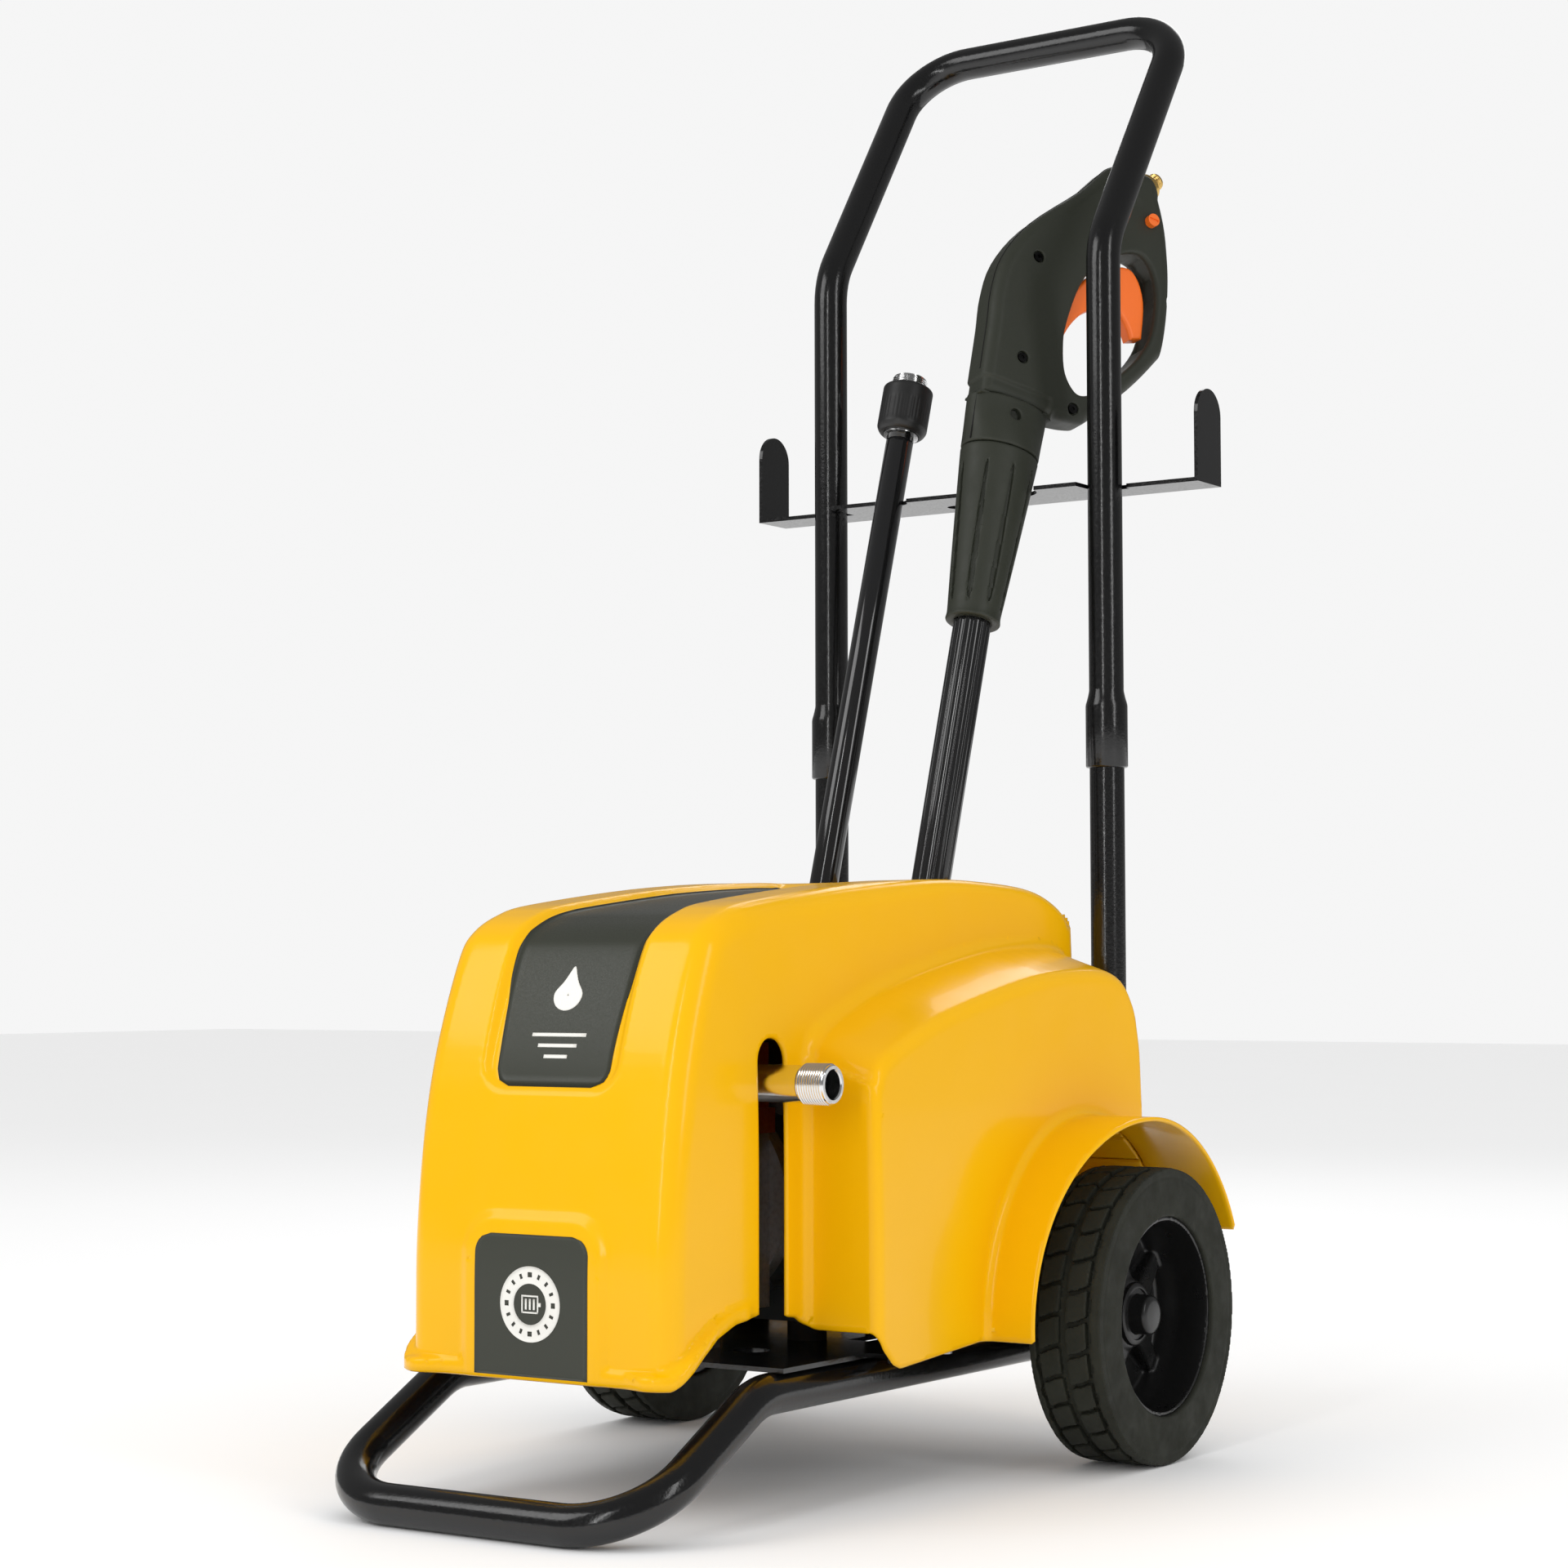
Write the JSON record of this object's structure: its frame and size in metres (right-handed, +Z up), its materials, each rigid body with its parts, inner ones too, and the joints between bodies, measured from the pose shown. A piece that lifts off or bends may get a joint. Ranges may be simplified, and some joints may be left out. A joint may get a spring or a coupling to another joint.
{
  "type": "pressure washer",
  "caption": "Upright trolley pressure washer: moulded cover over motor and pump on a tubular frame with wheels, handle, hose hooks, spray gun and spare lance.",
  "frame": {"origin": "middle of the footprint on the ground", "axes": "+Z up, -Y the front, X across between the wheels"},
  "size_m": [0.447, 0.7444, 1.0817],
  "materials": {
    "frame_paint": "gloss black powder coat with fine texture",
    "zinc": "zinc plated",
    "cover_yellow": "glossy moulded plastic",
    "decal_grey": "satin printed film",
    "badge": "printed film",
    "motor_grey": "painted finned casing",
    "bell_alloy": "cast",
    "rotor_steel": "laminated steel",
    "dark_steel": "blackened screws",
    "pump_bronze": "cast reddish alloy",
    "brass": "machined",
    "bright_metal": "bright turned metal",
    "rubber": "soft",
    "black_plastic": "fine grain",
    "rim_plastic": "satin",
    "bush_nylon": "plain",
    "tyre": "matt rubber",
    "gun_plastic": "matt fine grain",
    "lance_black": "gloss",
    "orange": "satin",
    "switch_red": "satin"
  },
  "bodies": {
    "frame": {"lower_frame": "frame_paint", "handle_frame": "frame_paint", "handle_screws": "zinc", "hook_bracket": "frame_paint", "base_plate": "frame_paint", "axle": "zinc", "axle_brackets": "frame_paint", "axle_spacers": "black_plastic", "axle_clips": "zinc", "cover": "cover_yellow", "cover_screws": "zinc", "upper_decal": "decal_grey", "lower_decal": "decal_grey", "round_badge": "badge", "motor_housing": "motor_grey", "motor_front_bell": "bell_alloy", "motor_rear_bell": "bell_alloy", "fan_cover": "black_plastic", "terminal_box": "black_plastic", "capacitor": "bell_alloy", "rubber_mounts": "rubber", "mount_bolts": "zinc", "pump_crankcase": "bell_alloy", "pump_head": "pump_bronze", "valve_caps": "brass", "inlet_pipe": "bright_metal", "outlet_fitting": "brass", "lance_holder": "black_plastic", "switch_housing": "black_plastic", "cord_gland": "black_plastic"},
    "left_wheel": {"left_tyre": "tyre", "left_rim": "rim_plastic", "left_bush": "bush_nylon", "left_cap": "rim_plastic"},
    "right_wheel": {"right_tyre": "tyre", "right_rim": "rim_plastic", "right_bush": "bush_nylon", "right_cap": "rim_plastic"},
    "rotor": {"motor_shaft": "zinc", "motor_rotor": "rotor_steel", "motor_fan": "black_plastic"},
    "gun": {"gun_body": "gun_plastic", "gun_collar": "gun_plastic", "gun_sleeve": "gun_plastic", "gun_tube": "lance_black", "gun_inlet": "brass", "gun_screws": "dark_steel", "trigger_pin": "zinc"},
    "trigger": {"trigger": "orange"},
    "trigger_lock": {"trigger_lock": "orange"},
    "spare_lance": {"spare_tube": "lance_black", "spare_nozzle": "black_plastic", "spare_nipple": "zinc"},
    "spare_nut": {"spare_nut": "black_plastic"},
    "switch_rocker": {"switch_rocker": "switch_red"}
  },
  "joints": [
    {"name": "left_wheel_spin", "type": "hinge", "parent": "frame", "child": "left_wheel", "pos_m": [-0.1965, 0.10745, 0.1], "axis": [1, 0, 0], "continuous": true},
    {"name": "right_wheel_spin", "type": "hinge", "parent": "frame", "child": "right_wheel", "pos_m": [0.1965, 0.10745, 0.1], "axis": [1, 0, 0], "continuous": true},
    {"name": "motor_spin", "type": "hinge", "parent": "frame", "child": "rotor", "pos_m": [0, -0.03254, 0.185], "axis": [0, 1, 0], "continuous": true},
    {"name": "gun_lift", "type": "slide", "parent": "frame", "child": "gun", "axis": [0, 0.3024, 0.9532], "range_m": [0, 0.088]},
    {"name": "trigger_pull", "type": "hinge", "parent": "gun", "child": "trigger", "pos_m": [0.052, 0.25257, 0.80363], "axis": [0.866, -0.4766, 0.1512], "range_deg": [0, 8], "stiffness_Nm_per_rad": 0.9, "springref_deg": -8.59},
    {"name": "trigger_lock_turn", "type": "hinge", "parent": "gun", "child": "trigger_lock", "pos_m": [0.0855, 0.3478, 0.91191], "axis": [-0.866, 0.4766, -0.1512], "range_deg": [0, 90]},
    {"name": "spare_lift", "type": "slide", "parent": "frame", "child": "spare_lance", "axis": [0, 0.3024, 0.9532], "range_m": [0, 0.095]},
    {"name": "spare_nut_turn", "type": "hinge", "parent": "spare_lance", "child": "spare_nut", "pos_m": [-0.052, 0.21885, 0.76207], "axis": [0, 0.3024, 0.9532], "continuous": true},
    {"name": "switch_rock", "type": "hinge", "parent": "frame", "child": "switch_rocker", "pos_m": [0.055, 0.20345, 0.283], "axis": [1, 0, 0], "range_deg": [0, 15]}
  ]
}
